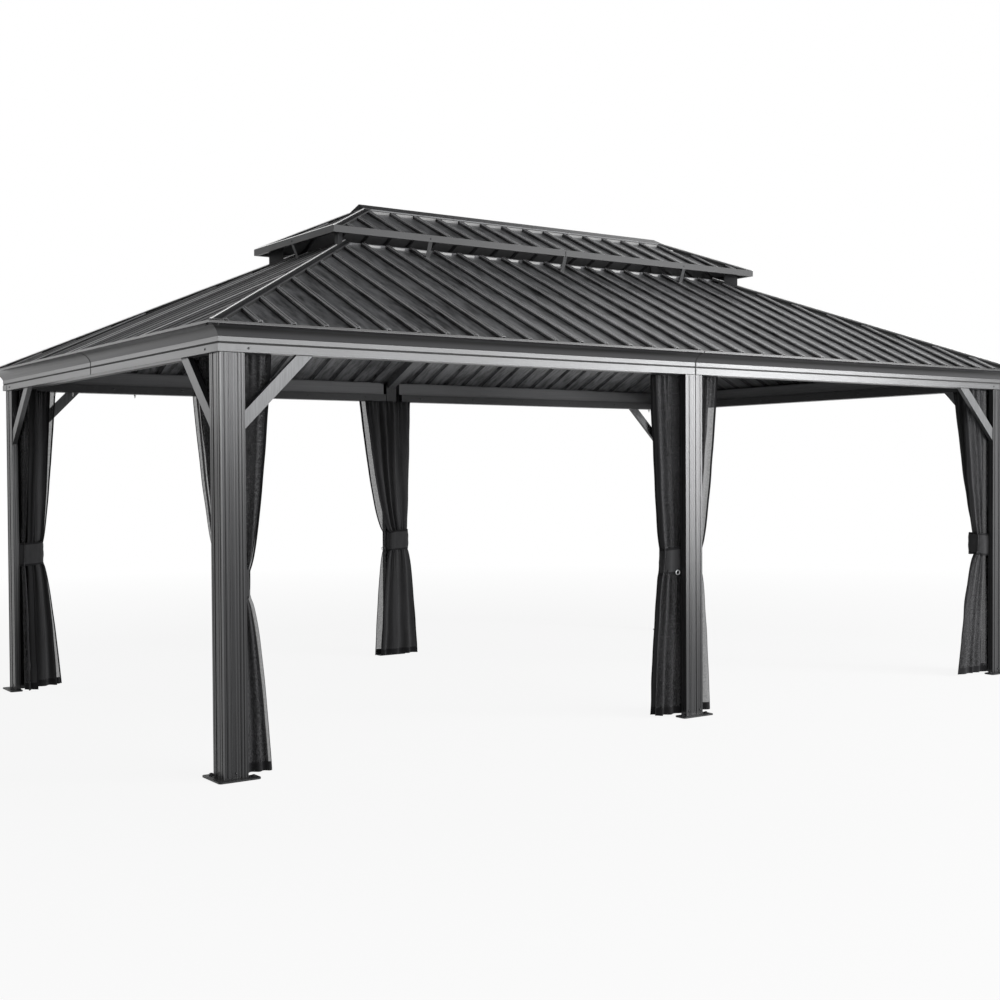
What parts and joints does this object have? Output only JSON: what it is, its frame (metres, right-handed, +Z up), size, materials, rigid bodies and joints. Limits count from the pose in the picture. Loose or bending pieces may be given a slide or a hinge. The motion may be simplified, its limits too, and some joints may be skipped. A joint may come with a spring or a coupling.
{
  "type": "hardtop metal gazebo",
  "caption": "Rectangular hardtop gazebo on fluted metal posts: ribbed hip roof with a raised vent roof, gutter fascia, knee braces and curtains tied back at the posts.",
  "frame": {"origin": "centre of the footprint on the ground, under the base plates", "axes": "+X along the long side, the front faces -Y, +Z up"},
  "size_m": [5.994, 3.655, 3.0947],
  "materials": {
    "frame_aluminium": "charcoal powder coat, satin",
    "plate_steel": "charcoal powder coat, satin",
    "roof_steel": "dark grey coated steel sheet, satin",
    "trim_steel": "dark grey coated steel, satin",
    "curtain_fabric": "charcoal polyester cloth over dark netting",
    "tie_fabric": "charcoal polyester band"
  },
  "bodies": {
    "root": {"corner_base_plates": "plate_steel", "corner_post_back_left": "frame_aluminium", "corner_post_back_right": "frame_aluminium", "corner_post_front_left": "frame_aluminium", "corner_post_front_right": "frame_aluminium", "curtain_back_left": "curtain_fabric", "curtain_back_middle": "curtain_fabric", "curtain_back_right": "curtain_fabric", "curtain_front_left": "curtain_fabric", "curtain_front_middle": "curtain_fabric", "curtain_front_right": "curtain_fabric", "curtain_ties": "tie_fabric", "curtain_tracks": "frame_aluminium", "gutter_back": "frame_aluminium", "gutter_front": "frame_aluminium", "gutter_left": "frame_aluminium", "gutter_right": "frame_aluminium", "header_back": "frame_aluminium", "header_connectors": "frame_aluminium", "header_front": "frame_aluminium", "header_left": "frame_aluminium", "header_right": "frame_aluminium", "hip_rafters": "frame_aluminium", "knee_braces_back_left": "frame_aluminium", "knee_braces_back_right": "frame_aluminium", "knee_braces_front_left": "frame_aluminium", "knee_braces_front_right": "frame_aluminium", "middle_base_plates": "plate_steel", "middle_post_back": "frame_aluminium", "middle_post_front": "frame_aluminium", "middle_rafters": "frame_aluminium", "ridge_cap": "trim_steel", "roof_hip_caps": "trim_steel", "roof_slope_back": "roof_steel", "roof_slope_front": "roof_steel", "roof_slope_left": "roof_steel", "roof_slope_right": "roof_steel", "vent_fascia": "trim_steel", "vent_hip_caps": "trim_steel", "vent_ring": "frame_aluminium", "vent_slope_back": "roof_steel", "vent_slope_front": "roof_steel", "vent_slope_left": "roof_steel", "vent_slope_right": "roof_steel", "vent_straps": "trim_steel"}
  },
  "joints": []
}
